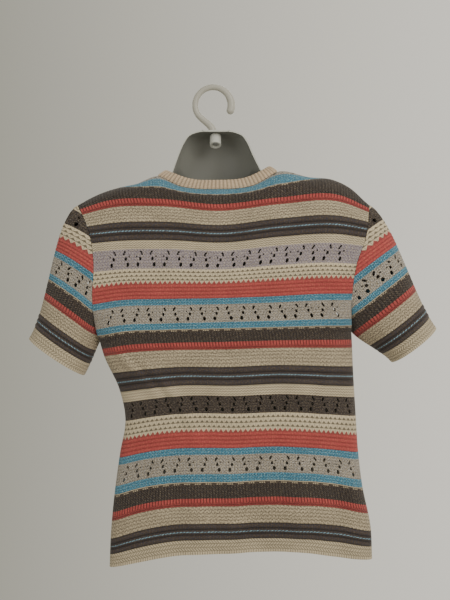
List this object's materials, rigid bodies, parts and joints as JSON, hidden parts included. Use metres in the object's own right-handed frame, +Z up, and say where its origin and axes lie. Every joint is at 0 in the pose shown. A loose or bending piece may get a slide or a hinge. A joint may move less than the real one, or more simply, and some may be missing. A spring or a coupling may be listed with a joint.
{
  "type": "knit top on a hanging torso form",
  "caption": "Short-sleeved openwork knit top with a round ribbed neckband, worn by a hollow-backed hanging torso form with a moulded hook.",
  "frame": {"origin": "top of the inside of the hook, where the form hangs", "axes": "+Z up, -Y towards the wearer's front, +X towards the wearer's left"},
  "size_m": [0.6166, 0.1586, 0.7308],
  "materials": {
    "knit": "textured cotton knit in many coloured bands, openwork",
    "neck_rib": "cream rib knit",
    "form_plastic": "pale grey moulded plastic, smooth satin",
    "hook_plastic": "grey-beige moulded plastic, satin",
    "screw_steel": "plain bright steel"
  },
  "bodies": {
    "root": {"back": "knit", "front": "knit", "sleeve_left_back": "knit", "sleeve_left_front": "knit", "sleeve_right_back": "knit", "sleeve_right_front": "knit", "neckband": "neck_rib", "form": "form_plastic", "hook": "hook_plastic", "hook_boss": "form_plastic", "boss_screw": "screw_steel"}
  },
  "joints": []
}
